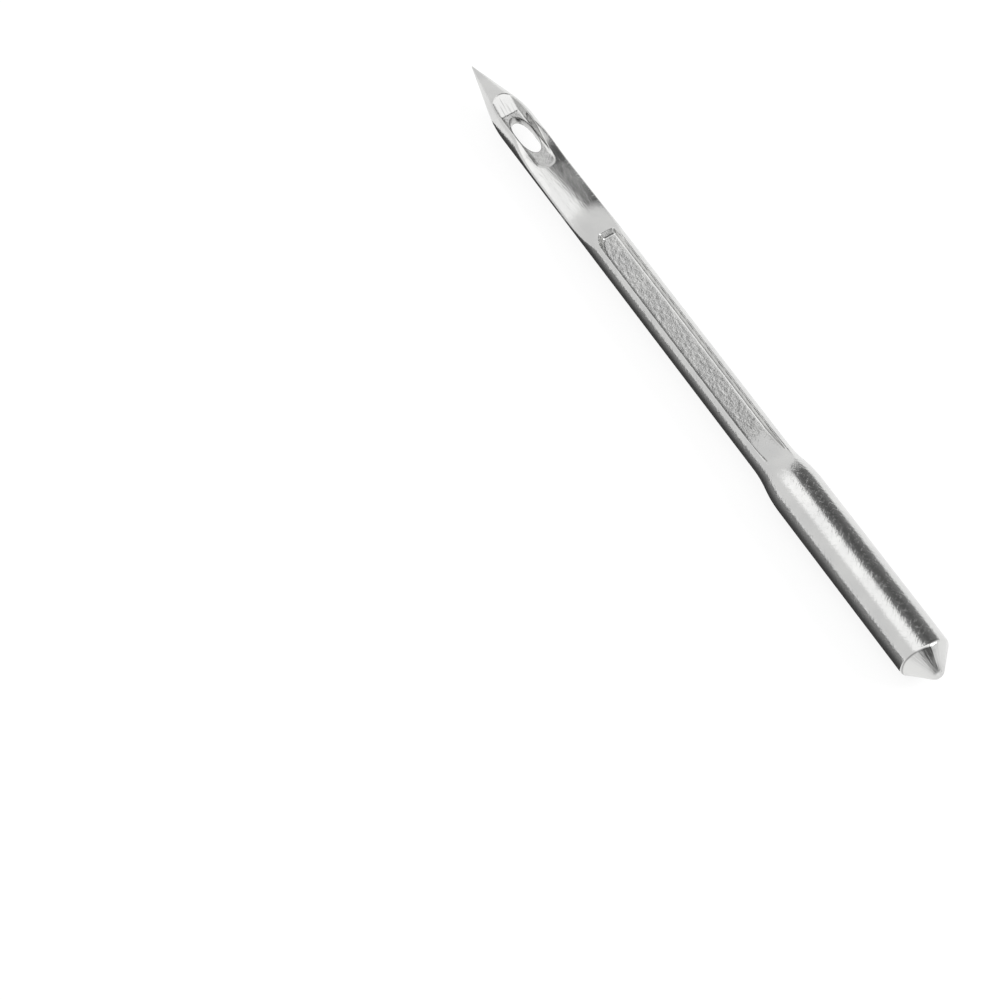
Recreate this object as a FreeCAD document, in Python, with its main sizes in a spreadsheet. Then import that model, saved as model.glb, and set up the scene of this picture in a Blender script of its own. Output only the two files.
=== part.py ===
"""Sewing machine needle for a heavy machine: one turned, grooved and plated piece of steel.

The needle lies along Y with the middle of its rounded butt end at the origin and its point
at the far end. +Z is the side with the scarf, where the machine's hook passes the eye.
All sizes are in millimetres and degrees, and sit in the spreadsheet named sizes.
"""

import FreeCAD
import Part
import Sketcher

import math
import os

SIZES = {
    "overall_length": 43.0,
    "shank_diameter": 2.5,
    "shank_length": 11.4,
    "butt_half_angle": 41.5,
    "butt_nose_radius": 0.45,
    "shoulder_radius": 0.25,
    "taper_length": 2.6,
    "blade_diameter": 2.0,
    "point_half_angle": 13.5,
    "point_blend_radius": 8.0,
    "tip_radius": 0.03,
    "groove_floor_width": 1.0,
    "long_groove_floor_height": 0.31,
    "long_groove_wall_angle": 14.0,
    "runout_radius": 6.0,
    "ramp_angle": 32.0,
    "ramp_blend_radius": 1.2,
    "ramp_foot_from_point": 4.27,
    "back_groove_floor_end_from_point": 27.8,
    "front_groove_start_from_point": 13.85,
    "front_groove_floor_end_from_point": 27.3,
    "short_groove_floor_height": 0.25,
    "short_groove_wall_angle": 16.0,
    "short_groove_end_from_point": 8.25,
    "scarf_floor_height": 0.3,
    "scarf_floor_start_from_point": 8.4,
    "scarf_floor_end_from_point": 11.3,
    "scarf_point_radius": 6.0,
    "scarf_butt_radius": 8.5,
    "scarf_crown_radius": 3.0,
    "eye_middle_from_point": 5.75,
    "eye_length": 2.7,
    "eye_width": 0.92,
    "eye_end_length": 1.15,
    "eye_rim_radius": 0.05,
    "cutter_clearance": 0.3,
}

# Numbers that a sketch uses for the points of an element, its axes and its origin
START, END, CENTRE = range(1, 4)
HORIZONTAL_AXIS, VERTICAL_AXIS = range(-1, -3, -1)
ORIGIN = (HORIZONTAL_AXIS, START)

MATCH_TOLERANCE = 0.005


def vector(across, along):
    """Point in a sketch's own plane."""
    return FreeCAD.Vector(across, along, 0)


def line(start, end):
    return Part.LineSegment(vector(*start), vector(*end))


def arc(centre, radius, start_angle, end_angle):
    """Arc that runs anticlockwise between two angles in degrees."""
    circle = Part.Circle(vector(*centre), FreeCAD.Vector(0, 0, 1), radius)
    return Part.ArcOfCircle(circle, math.radians(start_angle), math.radians(end_angle))


def make_sheet(document):
    """Spreadsheet with one named cell for each driving size."""
    sheet = document.addObject("Spreadsheet::Sheet", "sizes")
    for row, (name, value) in enumerate(SIZES.items(), start=1):
        sheet.set(f"A{row}", name)
        sheet.set(f"B{row}", str(value))
        sheet.setAlias(f"B{row}", name)
    return sheet


def new_sketch(body, name, plane, offset=None):
    """Empty sketch on one of the body's origin planes, moved along the plane's normal."""
    sketch = body.newObject("Sketcher::SketchObject", name)
    support = next(item for item in body.Origin.OriginFeatures if item.Role == plane)
    sketch.AttachmentSupport = (support, [""])
    sketch.MapMode = "FlatFace"
    if offset:
        sketch.setExpression("AttachmentOffset.Base.z", offset)
    return sketch


def drive(sketch, kind, *elements, name, size):
    """Dimension in a sketch, bound to the sheet by an expression."""
    index = sketch.addConstraint(Sketcher.Constraint(kind, *elements))
    sketch.renameConstraint(index, name)
    sketch.setExpression(f"Constraints.{name}", size)


def relate(sketch, kind, *elements):
    sketch.addConstraint(Sketcher.Constraint(kind, *elements))


def blank_profile(body):
    """Half outline of the turned blank: butt cone, shank, taper, blade and point."""
    shank = SIZES["shank_diameter"] / 2
    blade = SIZES["blade_diameter"] / 2
    length = SIZES["overall_length"]
    shank_end = SIZES["shank_length"]
    taper = SIZES["taper_length"]
    nose = SIZES["butt_nose_radius"]
    shoulder = SIZES["shoulder_radius"]
    cone = SIZES["butt_half_angle"]
    point = SIZES["point_half_angle"]
    blend = SIZES["point_blend_radius"]
    tip = SIZES["tip_radius"]
    sine, cosine = math.sin(math.radians(cone)), math.cos(math.radians(cone))
    shoulder_height = nose + ((shank - shoulder) * cosine + shoulder - nose) / sine
    drop = shank - blade
    taper_arc = (taper ** 2 + drop ** 2) / (4 * drop)
    turn = math.degrees(math.asin(taper / 2 / taper_arc))
    rise = math.tan(math.radians(90 - point))
    blend_end = blade - blend * (1 - math.cos(math.radians(point)))
    blend_height = length - blend_end * rise - blend * math.sin(math.radians(point))

    sketch = new_sketch(body, "blank_profile", "XY_Plane")
    outline = [
        arc((0, nose), nose, -90, -cone),
        line((nose * cosine, nose - nose * sine),
             (shank - shoulder + shoulder * cosine, shoulder_height - shoulder * sine)),
        arc((shank - shoulder, shoulder_height), shoulder, -cone, 0),
        line((shank, shoulder_height), (shank, shank_end)),
        arc((shank - taper_arc, shank_end), taper_arc, 0, turn),
        arc((blade + taper_arc, shank_end + taper), taper_arc, 180, 180 + turn),
        line((blade, shank_end + taper), (blade, blend_height)),
        arc((blade - blend, blend_height), blend, 0, point),
        line((blend_end, length - blend_end * rise), (tip, length - tip * rise)),
        arc((0, length - tip), tip, point, 90),
        line((0, length), (0, 0)),
    ]
    sketch.addGeometry(outline, False)
    nose_arc, butt, shoulder_arc, shank_side, taper_out, taper_in = range(6)
    blade_side, blend_arc, point_side, tip_arc, axis = range(6, 11)

    joins = [
        (nose_arc, END, butt, START),
        (butt, END, shoulder_arc, START),
        (shoulder_arc, END, shank_side, START),
        (shank_side, END, taper_out, START),
        (taper_out, END, taper_in, END),
        (taper_in, START, blade_side, START),
        (blade_side, END, blend_arc, START),
        (blend_arc, END, point_side, START),
        (point_side, END, tip_arc, START),
    ]
    for join in joins:
        relate(sketch, "Tangent", *join)
    relate(sketch, "Coincident", tip_arc, END, axis, START)
    relate(sketch, "Coincident", axis, END, nose_arc, START)
    relate(sketch, "Coincident", axis, END, *ORIGIN)
    relate(sketch, "PointOnObject", nose_arc, CENTRE, VERTICAL_AXIS)
    relate(sketch, "PointOnObject", tip_arc, CENTRE, VERTICAL_AXIS)
    relate(sketch, "Equal", taper_out, taper_in)
    for upright in (shank_side, blade_side, axis):
        relate(sketch, "Vertical", upright)

    drive(sketch, "Radius", nose_arc, nose, name="nose", size="sizes.butt_nose_radius")
    drive(sketch, "Radius", shoulder_arc, shoulder, name="shoulder",
          size="sizes.shoulder_radius")
    drive(sketch, "Radius", blend_arc, blend, name="blend", size="sizes.point_blend_radius")
    drive(sketch, "Radius", tip_arc, tip, name="tip", size="sizes.tip_radius")
    drive(sketch, "DistanceX", *ORIGIN, shank_side, END, shank, name="shank",
          size="sizes.shank_diameter / 2")
    drive(sketch, "DistanceX", *ORIGIN, blade_side, END, blade, name="blade",
          size="sizes.blade_diameter / 2")
    drive(sketch, "DistanceY", *ORIGIN, shank_side, END, shank_end, name="shank_end",
          size="sizes.shank_length")
    drive(sketch, "DistanceY", shank_side, END, blade_side, START, taper, name="taper",
          size="sizes.taper_length")
    drive(sketch, "DistanceY", *ORIGIN, axis, START, length, name="length",
          size="sizes.overall_length")
    drive(sketch, "Angle", butt, math.radians(90 - cone), name="butt_angle",
          size="90 deg - sizes.butt_half_angle * 1 deg")
    drive(sketch, "Angle", point_side, math.radians(90 + point), name="point_angle",
          size="90 deg + sizes.point_half_angle * 1 deg")
    return sketch


def measure_height(sketch, side, element, point, value, name, size):
    """Distance from the needle's axis to a point of a sketch, up or, on the back, down."""
    low, high = (ORIGIN, (element, point)) if side > 0 else ((element, point), ORIGIN)
    drive(sketch, "DistanceY", *low, *high, value, name=name, size=size)


def groove_section(body, name, station, side, groove):
    """Cross-section of a groove: flat floor, two drafted walls, open above the blade.

    side is 1 for the scarf side and -1 for the back. station is an expression for the
    distance from the butt end. groove is long_groove or short_groove.
    """
    floor = SIZES["groove_floor_width"] / 2
    height = SIZES[f"{groove}_floor_height"]
    top = SIZES["shank_diameter"] / 2 + SIZES["cutter_clearance"]
    mouth = floor + (top - height) * math.tan(math.radians(SIZES[f"{groove}_wall_angle"]))
    sketch = new_sketch(body, name, "XZ_Plane", offset=f"-({station})")
    corners = [
        (-floor, side * height),
        (floor, side * height),
        (mouth, side * top),
        (-mouth, side * top),
    ]
    for corner, following in zip(corners, corners[1:] + corners[:1]):
        sketch.addGeometry(line(corner, following), False)
    bottom, wall, mouth_line, other_wall = range(4)
    relate(sketch, "Coincident", bottom, END, wall, START)
    relate(sketch, "Coincident", wall, END, mouth_line, START)
    relate(sketch, "Coincident", mouth_line, END, other_wall, START)
    relate(sketch, "Coincident", other_wall, END, bottom, START)
    relate(sketch, "Symmetric", bottom, START, bottom, END, VERTICAL_AXIS)
    relate(sketch, "Symmetric", wall, END, other_wall, START, VERTICAL_AXIS)
    drive(sketch, "DistanceX", bottom, START, bottom, END, 2 * floor, name="floor",
          size="sizes.groove_floor_width")
    measure_height(sketch, side, bottom, END, height, "height",
                   f"sizes.{groove}_floor_height")
    measure_height(sketch, side, wall, END, top, "top",
                   "sizes.shank_diameter / 2 + sizes.cutter_clearance")
    drive(sketch, "DistanceX", *ORIGIN, wall, END, mouth, name="mouth",
          size="sizes.groove_floor_width / 2 + (sizes.shank_diameter / 2"
               f" + sizes.cutter_clearance - sizes.{groove}_floor_height)"
               f" * tan(sizes.{groove}_wall_angle * 1 deg)")
    return sketch


def runout_path(body, name, side, start, finish, floor, radius):
    """Path of a cut's floor: straight toward the butt, then up an arc and out.

    side is 1 for the scarf side and -1 for the back. The rest name sizes. start and finish
    are distances from the point.
    """
    height = SIZES[floor]
    bend = SIZES[radius]
    top = SIZES["shank_diameter"] / 2 + SIZES["cutter_clearance"]
    begin = SIZES["overall_length"] - SIZES[start]
    end = SIZES["overall_length"] - SIZES[finish]
    turn = math.degrees(math.acos(1 - (top - height) / bend))
    bottom = -90 * side
    sketch = new_sketch(body, name, "YZ_Plane")
    sketch.addGeometry(line((begin, side * height), (end, side * height)), False)
    if side < 0:
        curve = arc((end, side * (height + bend)), bend, bottom, bottom + turn)
        near, far = START, END
    else:
        curve = arc((end, side * (height + bend)), bend, bottom - turn, bottom)
        near, far = END, START
    sketch.addGeometry(curve, False)
    flat, rise = 0, 1
    relate(sketch, "Horizontal", flat)
    relate(sketch, "Tangent", flat, END, rise, near)
    drive(sketch, "Radius", rise, bend, name="radius", size=f"sizes.{radius}")
    drive(sketch, "DistanceX", *ORIGIN, flat, START, begin, name="begin",
          size=f"sizes.overall_length - sizes.{start}")
    drive(sketch, "DistanceX", *ORIGIN, flat, END, end, name="finish",
          size=f"sizes.overall_length - sizes.{finish}")
    measure_height(sketch, side, flat, START, height, "height", f"sizes.{floor}")
    measure_height(sketch, side, rise, far, top, "top",
                   "sizes.shank_diameter / 2 + sizes.cutter_clearance")
    return sketch


def ramp_path(body, name, side, floor):
    """Path of a groove's floor toward the point: past the eye, then up a ramp and out."""
    height = SIZES[floor]
    radius = SIZES["ramp_blend_radius"]
    angle = SIZES["ramp_angle"]
    slope = math.radians(angle)
    top = SIZES["blade_diameter"] / 2 + SIZES["cutter_clearance"]
    begin = SIZES["overall_length"] - SIZES["eye_middle_from_point"]
    foot = SIZES["overall_length"] - SIZES["ramp_foot_from_point"]
    rise_start = foot + radius * math.sin(slope)
    rise_height = height + radius * (1 - math.cos(slope))
    rise_end = rise_start + (top - rise_height) / math.tan(slope)
    sketch = new_sketch(body, name, "YZ_Plane")
    sketch.addGeometry(line((begin, side * height), (foot, side * height)), False)
    if side > 0:
        curve = arc((foot, height + radius), radius, -90, angle - 90)
        near, far = START, END
    else:
        curve = arc((foot, -height - radius), radius, 90 - angle, 90)
        near, far = END, START
    sketch.addGeometry(curve, False)
    sketch.addGeometry(line((rise_start, side * rise_height), (rise_end, side * top)), False)
    flat, blend, ramp = 0, 1, 2
    relate(sketch, "Horizontal", flat)
    relate(sketch, "Tangent", flat, END, blend, near)
    relate(sketch, "Tangent", blend, far, ramp, START)
    drive(sketch, "Radius", blend, radius, name="blend", size="sizes.ramp_blend_radius")
    drive(sketch, "Angle", ramp, side * slope, name="slope",
          size=f"{side} * sizes.ramp_angle * 1 deg")
    drive(sketch, "DistanceX", *ORIGIN, flat, START, begin, name="begin",
          size="sizes.overall_length - sizes.eye_middle_from_point")
    drive(sketch, "DistanceX", *ORIGIN, flat, END, foot, name="foot",
          size="sizes.overall_length - sizes.ramp_foot_from_point")
    measure_height(sketch, side, flat, START, height, "height", f"sizes.{floor}")
    measure_height(sketch, side, ramp, END, top, "top",
                   "sizes.blade_diameter / 2 + sizes.cutter_clearance")
    return sketch


def sweep_cut(body, name, section, spine):
    """Groove cut by sweeping a cross-section along the path of its floor."""
    cut = body.newObject("PartDesign::SubtractivePipe", name)
    cut.Profile = (section, [""])
    edges = [f"Edge{index + 1}" for index in range(spine.GeometryCount)]
    cut.Spine = (spine, edges)
    cut.Mode = "Standard"
    cut.Transition = "Transformed"
    return cut


def turned_blank(body):
    """Round blank, turned about Y."""
    profile = blank_profile(body)
    blank = body.newObject("PartDesign::Revolution", "turned_blank")
    blank.Profile = (profile, [""])
    blank.ReferenceAxis = (profile, ["V_Axis"])
    blank.Angle = 360
    return blank


def crown_section(body, name, station):
    """Cross-section of the scarf: buffed to a crown that falls to both edges, open above."""
    crown = SIZES["scarf_crown_radius"]
    floor = SIZES["scarf_floor_height"]
    half = SIZES["blade_diameter"] / 2 + SIZES["cutter_clearance"]
    top = SIZES["shank_diameter"] / 2 + SIZES["cutter_clearance"]
    edge = floor - crown + math.sqrt(crown ** 2 - half ** 2)
    swing = math.degrees(math.asin(half / crown))
    sketch = new_sketch(body, name, "XZ_Plane",
                        offset=f"-(sizes.overall_length - sizes.{station})")
    outline = [
        arc((0, floor - crown), crown, 90 - swing, 90 + swing),
        line((-half, edge), (-half, top)),
        line((-half, top), (half, top)),
        line((half, top), (half, edge)),
    ]
    sketch.addGeometry(outline, False)
    hollow, left, lid, right = range(4)
    relate(sketch, "Coincident", hollow, END, left, START)
    relate(sketch, "Coincident", left, END, lid, START)
    relate(sketch, "Coincident", lid, END, right, START)
    relate(sketch, "Coincident", right, END, hollow, START)
    relate(sketch, "PointOnObject", hollow, CENTRE, VERTICAL_AXIS)
    relate(sketch, "Symmetric", lid, START, lid, END, VERTICAL_AXIS)
    relate(sketch, "Vertical", left)
    relate(sketch, "Vertical", right)
    drive(sketch, "Radius", hollow, crown, name="crown", size="sizes.scarf_crown_radius")
    drive(sketch, "DistanceX", *ORIGIN, lid, END, half, name="half",
          size="sizes.blade_diameter / 2 + sizes.cutter_clearance")
    drive(sketch, "DistanceY", hollow, CENTRE, *ORIGIN, crown - floor, name="centre_depth",
          size="sizes.scarf_crown_radius - sizes.scarf_floor_height")
    measure_height(sketch, 1, lid, END, top, "top",
                   "sizes.shank_diameter / 2 + sizes.cutter_clearance")
    return sketch


def point_arc(body):
    """Path on which the scarf rises toward the point, from the end of its flat floor."""
    floor = SIZES["scarf_floor_height"]
    bend = SIZES["scarf_point_radius"]
    top = SIZES["shank_diameter"] / 2 + SIZES["cutter_clearance"]
    begin = SIZES["overall_length"] - SIZES["scarf_floor_start_from_point"]
    turn = math.degrees(math.acos(1 - (top - floor) / bend))
    sketch = new_sketch(body, "scarf_point_path", "YZ_Plane")
    sketch.addGeometry(arc((begin, floor + bend), bend, -90, turn - 90), False)
    relate(sketch, "Vertical", 0, START, 0, CENTRE)
    drive(sketch, "Radius", 0, bend, name="radius", size="sizes.scarf_point_radius")
    drive(sketch, "DistanceX", *ORIGIN, 0, START, begin, name="begin",
          size="sizes.overall_length - sizes.scarf_floor_start_from_point")
    measure_height(sketch, 1, 0, START, floor, "height", "sizes.scarf_floor_height")
    measure_height(sketch, 1, 0, END, top, "top",
                   "sizes.shank_diameter / 2 + sizes.cutter_clearance")
    return sketch


def scarf(body):
    """Hollow above the eye, ground along the blade: it rises on an arc at either end."""
    start = "scarf_floor_start_from_point"
    butt_path = runout_path(body, "scarf_butt_path", 1, start, "scarf_floor_end_from_point",
                            "scarf_floor_height", "scarf_butt_radius")
    sweep_cut(body, "scarf_butt_end", crown_section(body, "scarf_butt_section", start),
              butt_path)
    return sweep_cut(body, "scarf", crown_section(body, "scarf_point_section", start),
                     point_arc(body))


def long_grooves(body):
    """Thread grooves: the back one ramps out past the eye, the other starts at the scarf."""
    eye = "sizes.overall_length - sizes.eye_middle_from_point"
    start = "sizes.overall_length - sizes.front_groove_start_from_point"
    floor = "long_groove_floor_height"
    back_section = groove_section(body, "back_section", eye, -1, "long_groove")
    back_path = runout_path(body, "back_path", -1, "eye_middle_from_point",
                            "back_groove_floor_end_from_point", floor, "runout_radius")
    sweep_cut(body, "back_groove", back_section, back_path)
    ramp_section = groove_section(body, "back_ramp_section", eye, -1, "long_groove")
    sweep_cut(body, "back_ramp", ramp_section, ramp_path(body, "back_ramp_path", -1, floor))
    front_section = groove_section(body, "front_section", start, 1, "long_groove")
    front_path = runout_path(body, "front_path", 1, "front_groove_start_from_point",
                             "front_groove_floor_end_from_point", floor, "runout_radius")
    return sweep_cut(body, "front_groove", front_section, front_path)


def short_groove(body):
    """Groove on the scarf side from the point's ramp, past the eye, to a round end."""
    eye = "sizes.overall_length - sizes.eye_middle_from_point"
    floor = "short_groove_floor_height"
    section = groove_section(body, "short_section", eye, 1, "short_groove")
    sweep_cut(body, "short_ramp", section, ramp_path(body, "short_ramp_path", 1, floor))

    half = SIZES["groove_floor_width"] / 2
    length = SIZES["overall_length"]
    begin = length - SIZES["ramp_foot_from_point"] - half
    finish = length - SIZES["short_groove_end_from_point"] + half
    sketch = new_sketch(body, "short_floor", "XY_Plane", offset=f"sizes.{floor}")
    outline = [
        arc((0, begin), half, 0, 180),
        line((-half, begin), (-half, finish)),
        arc((0, finish), half, 180, 360),
        line((half, finish), (half, begin)),
    ]
    sketch.addGeometry(outline, False)
    point_end, left, butt_end, right = range(4)
    relate(sketch, "Tangent", point_end, END, left, START)
    relate(sketch, "Tangent", left, END, butt_end, START)
    relate(sketch, "Tangent", butt_end, END, right, START)
    relate(sketch, "Tangent", right, END, point_end, START)
    relate(sketch, "Vertical", left)
    relate(sketch, "PointOnObject", point_end, CENTRE, VERTICAL_AXIS)
    relate(sketch, "PointOnObject", butt_end, CENTRE, VERTICAL_AXIS)
    drive(sketch, "Radius", butt_end, half, name="half",
          size="sizes.groove_floor_width / 2")
    drive(sketch, "DistanceY", *ORIGIN, point_end, CENTRE, begin, name="begin",
          size="sizes.overall_length - sizes.ramp_foot_from_point"
               " - sizes.groove_floor_width / 2")
    drive(sketch, "DistanceY", *ORIGIN, butt_end, CENTRE, finish, name="finish",
          size="sizes.overall_length - sizes.short_groove_end_from_point"
               " + sizes.groove_floor_width / 2")
    pocket = body.newObject("PartDesign::Pocket", "short_groove")
    pocket.Profile = (sketch, [""])
    pocket.Type = "Length"
    pocket.Reversed = True
    pocket.setExpression("Length", "sizes.blade_diameter / 2")
    pocket.setExpression("TaperAngle", "sizes.short_groove_wall_angle * 1 deg")
    return pocket


def eye(body):
    """Thread eye: a slot with half-ellipse ends, right through the web."""
    half = SIZES["eye_width"] / 2
    end = SIZES["eye_end_length"]
    middle = SIZES["overall_length"] - SIZES["eye_middle_from_point"]
    reach = SIZES["eye_length"] / 2 - end
    sketch = new_sketch(body, "eye_outline", "XY_Plane")
    ends = []
    for side, first_angle in ((1, -90), (-1, 90)):
        centre = vector(0, middle + side * reach)
        ellipse = Part.Ellipse(centre + vector(0, end), centre + vector(half, 0), centre)
        ends.append(Part.ArcOfEllipse(ellipse, math.radians(first_angle),
                                      math.radians(first_angle + 180)))
    sketch.addGeometry(ends, False)
    point_end, butt_end = range(2)
    side_lines = [
        line((-half, middle + reach), (-half, middle - reach)),
        line((half, middle - reach), (half, middle + reach)),
    ]
    sketch.addGeometry(side_lines, False)
    left, right = 2, 3
    relate(sketch, "Coincident", point_end, END, left, START)
    relate(sketch, "Coincident", left, END, butt_end, START)
    relate(sketch, "Coincident", butt_end, END, right, START)
    relate(sketch, "Coincident", right, END, point_end, START)
    for name, end_arc, side in (("point_end", point_end, 1), ("butt_end", butt_end, -1)):
        long_axis = sketch.GeometryCount
        short_axis = long_axis + 1
        sketch.exposeInternalGeometry(end_arc)
        relate(sketch, "PointOnObject", long_axis, START, VERTICAL_AXIS)
        relate(sketch, "PointOnObject", long_axis, END, VERTICAL_AXIS)
        relate(sketch, "PointOnObject", end_arc, START, short_axis)
        relate(sketch, "PointOnObject", end_arc, END, short_axis)
        drive(sketch, "Distance", long_axis, 2 * end, name=f"{name}_length",
              size="2 * sizes.eye_end_length")
        drive(sketch, "Distance", short_axis, 2 * half, name=f"{name}_width",
              size="sizes.eye_width")
        drive(sketch, "DistanceY", *ORIGIN, end_arc, CENTRE, middle + side * reach,
              name=f"{name}_place",
              size="sizes.overall_length - sizes.eye_middle_from_point"
                   f" + {side} * (sizes.eye_length / 2 - sizes.eye_end_length)")
    pocket = body.newObject("PartDesign::Pocket", "eye")
    pocket.Profile = (sketch, [""])
    pocket.SideType = "Symmetric"
    pocket.Type = "ThroughAll"
    return pocket


def eye_rims(body, cut):
    """Rounded rims where the eye meets the two groove floors, so that thread isn't cut."""
    floors = (SIZES["short_groove_floor_height"], -SIZES["long_groove_floor_height"])
    middle = SIZES["overall_length"] - SIZES["eye_middle_from_point"]
    reach = SIZES["eye_length"] / 2
    half = SIZES["eye_width"] / 2
    slack = MATCH_TOLERANCE
    rims = []
    for index, edge in enumerate(cut.Shape.Edges, start=1):
        box = edge.BoundBox
        level = (box.ZLength < slack
                 and any(abs(box.Center.z - floor) < slack for floor in floors))
        inside = box.XMax < half + slack and box.XMin > -half - slack
        along = box.YMax < middle + reach + slack and box.YMin > middle - reach - slack
        if level and inside and along:
            rims.append(f"Edge{index}")
    fillet = body.newObject("PartDesign::Fillet", "eye_rims")
    fillet.Base = (cut, rims)
    fillet.setExpression("Radius", "sizes.eye_rim_radius")
    return fillet


def build():
    document = FreeCAD.newDocument("sewing_machine_needle")
    make_sheet(document)
    body = document.addObject("PartDesign::Body", "needle")
    body.Label = "needle"
    for make in (turned_blank, scarf, long_grooves, short_groove, eye):
        feature = make(body)
        document.recompute()
        print(feature.Name, "volume", round(body.Shape.Volume, 4))
    eye_rims(body, feature)
    document.recompute()
    print("finished volume", round(body.Shape.Volume, 4))
    return document


def write(document):
    """Checks every object and the finished body, then writes one STEP file."""
    failed = [item.Name for item in document.Objects
              if "Invalid" in item.State or "Error" in item.State]
    if failed:
        raise RuntimeError("failed objects: " + ", ".join(failed))
    shape = document.getObject("needle").Shape
    if shape.isNull() or not shape.isValid() or len(shape.Solids) != 1:
        raise RuntimeError("the needle isn't one valid solid")
    os.makedirs("parts", exist_ok=True)
    shape.exportStep(os.path.join("parts", "needle.step"))


write(build())
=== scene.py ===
"""Finished look of the sewing machine needle, in metres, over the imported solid.

One finer surface stands for the solid. It has the same turned, grooved and ground form, with
rounded edges, the rough pressed grain of the groove floors and the small unevenness of a real
needle. The sizes below are in millimetres. The form's own sizes repeat those of the part's
source, apart from the ramps, which bend more tightly at their foot, and the eye's finer rim.
"""

import math

import bmesh
import bpy
import numpy as np
from mathutils import Matrix, Vector, noise


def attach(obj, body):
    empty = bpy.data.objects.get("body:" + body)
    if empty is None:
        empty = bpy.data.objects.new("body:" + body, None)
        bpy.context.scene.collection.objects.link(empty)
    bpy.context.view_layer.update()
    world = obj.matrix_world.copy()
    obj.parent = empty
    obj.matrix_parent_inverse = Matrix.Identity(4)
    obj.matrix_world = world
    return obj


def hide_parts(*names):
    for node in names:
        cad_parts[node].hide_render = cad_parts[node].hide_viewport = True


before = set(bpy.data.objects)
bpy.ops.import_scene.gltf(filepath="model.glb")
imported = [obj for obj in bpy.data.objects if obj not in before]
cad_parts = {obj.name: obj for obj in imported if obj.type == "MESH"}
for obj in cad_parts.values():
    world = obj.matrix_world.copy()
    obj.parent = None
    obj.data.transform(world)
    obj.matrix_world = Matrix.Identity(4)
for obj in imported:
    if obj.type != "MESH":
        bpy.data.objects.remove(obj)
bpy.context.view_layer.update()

MM = 0.001

# Turned form, measured from the butt end
LENGTH = 43.0
SHANK_RADIUS = 1.25
SHANK_LENGTH = 11.4
BUTT_HALF_ANGLE = math.radians(41.5)
NOSE_RADIUS = 0.45
SHOULDER_RADIUS = 0.25
TAPER_LENGTH = 2.6
BLADE_RADIUS = 1.0
POINT_HALF_ANGLE = math.radians(13.5)
POINT_BLEND_RADIUS = 8.0
TIP_RADIUS = 0.03

# Grooves
FLOOR_HALF = 0.5
LONG_FLOOR_HEIGHT = 0.31
LONG_WALL_ANGLE = math.radians(14)
RUNOUT_RADIUS = 6.0
FRONT_GROOVE_START = LENGTH - 13.85
FRONT_FLOOR_END = LENGTH - 27.3
BACK_FLOOR_END = LENGTH - 27.8
SHORT_FLOOR_HEIGHT = 0.25
SHORT_WALL_ANGLE = math.radians(16)
SHORT_GROOVE_END = LENGTH - 8.25

# Ramps at the point end of the grooves
RAMP_FOOT = LENGTH - 4.22
RAMP_ANGLE = math.radians(28)
RAMP_BLEND_RADIUS = 0.5

# Scarf
SCARF_HEIGHT = 0.3
SCARF_FLOOR_START = LENGTH - 8.4
SCARF_FLOOR_END = LENGTH - 11.3
SCARF_POINT_RADIUS = 6.0
SCARF_BUTT_RADIUS = 8.5
SCARF_CROWN_RADIUS = 3.0

# Eye: a short straight stretch between two half ellipses
EYE_MIDDLE = LENGTH - 5.75
EYE_HALF_LENGTH = 1.35
EYE_HALF_WIDTH = 0.46
EYE_END_LENGTH = 1.15
EYE_STRAIGHT_HALF = EYE_HALF_LENGTH - EYE_END_LENGTH

# Rounding of the edges and corners
EYE_RIM = 0.035
MOUTH_ROUNDING = 0.05
START_ROUNDING = 0.008
START_ROUNDING_REACH = 0.7
RUNOUT_ROUNDING = 0.14
RUNOUT_ROUNDING_FADE = (0.8, 2.6)
SCARF_ROUNDING = 0.12
FLOOR_FILLET = 0.08

# How the tool left the long groove on the scarf side
START_WALL_ANGLE = math.radians(32)
STEEP_WALL_ANGLE = math.radians(4)
SQUARE_CORNER = 0.1
LONG_CORNER_ACROSS = 0.4
LONG_CORNER_ALONG = 1.1
CORNER_POWER = 1.6
WIDER_SIDE = 0.04

# Unevenness of the walls, the scarf's crown and the butt cone
WALL_WOBBLE = 0.007
WALL_WAVES = ((0.5, 7.3), (0.3, 17.9), (0.2, 41.3))
SHORT_GROOVE_PHASE = 2
BACK_GROOVE_PHASE = 4
SCARF_LEAN = 0.25
SCARF_LEAN_END = SCARF_FLOOR_START + 0.3
SCARF_LEAN_LEVEL = 0.4
SHOULDER_LEAN = 0.2
SHOULDER_LEAN_SIDE = math.radians(35)
SHOULDER_WOBBLE = 0.03
CONE_LEAN_FADE = (0.1, 0.9)
BUTT_REGION = 2.0

# Grain in the mesh: its size across and along the needle and the seed of its noise
COARSE_GRAIN = (0.17, 0.2, 3.1)
FINE_GRAIN = (0.09, 0.1, 7.7)
RAMP_STREAKS = (0.08, 2.5, 1.3)
RAMP_WEAR = (0.07, 1.5, 1.3)
SCARF_RIPPLES = (0.5, 0.9, 5.9)
GRAIN_HEIGHT = 0.011
STREAK_HEIGHT = 0.005
RIPPLE_HEIGHT = 0.0022
LEAST_SHARE = 0.01

# Where each kind of face begins and ends
CUT_DEPTH_FADE = (0.08, 0.25)
FLOOR_SIDE_FADE = 0.08
FLAT_MAP_FADE = (0.4, 0.75)
FRONT_GRAIN_FADE = (14.8, 16.6)
BACK_GRAIN_FADE = (14.3, 16.1)
GRAIN_START_FADE = 0.06
SCARF_BUTT_FADE = 0.05
FOOT_FADE = 0.2
SHORT_END_FADE = 0.2
CONE_STREAKS_FADE = (1.05, 1.2)

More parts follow.
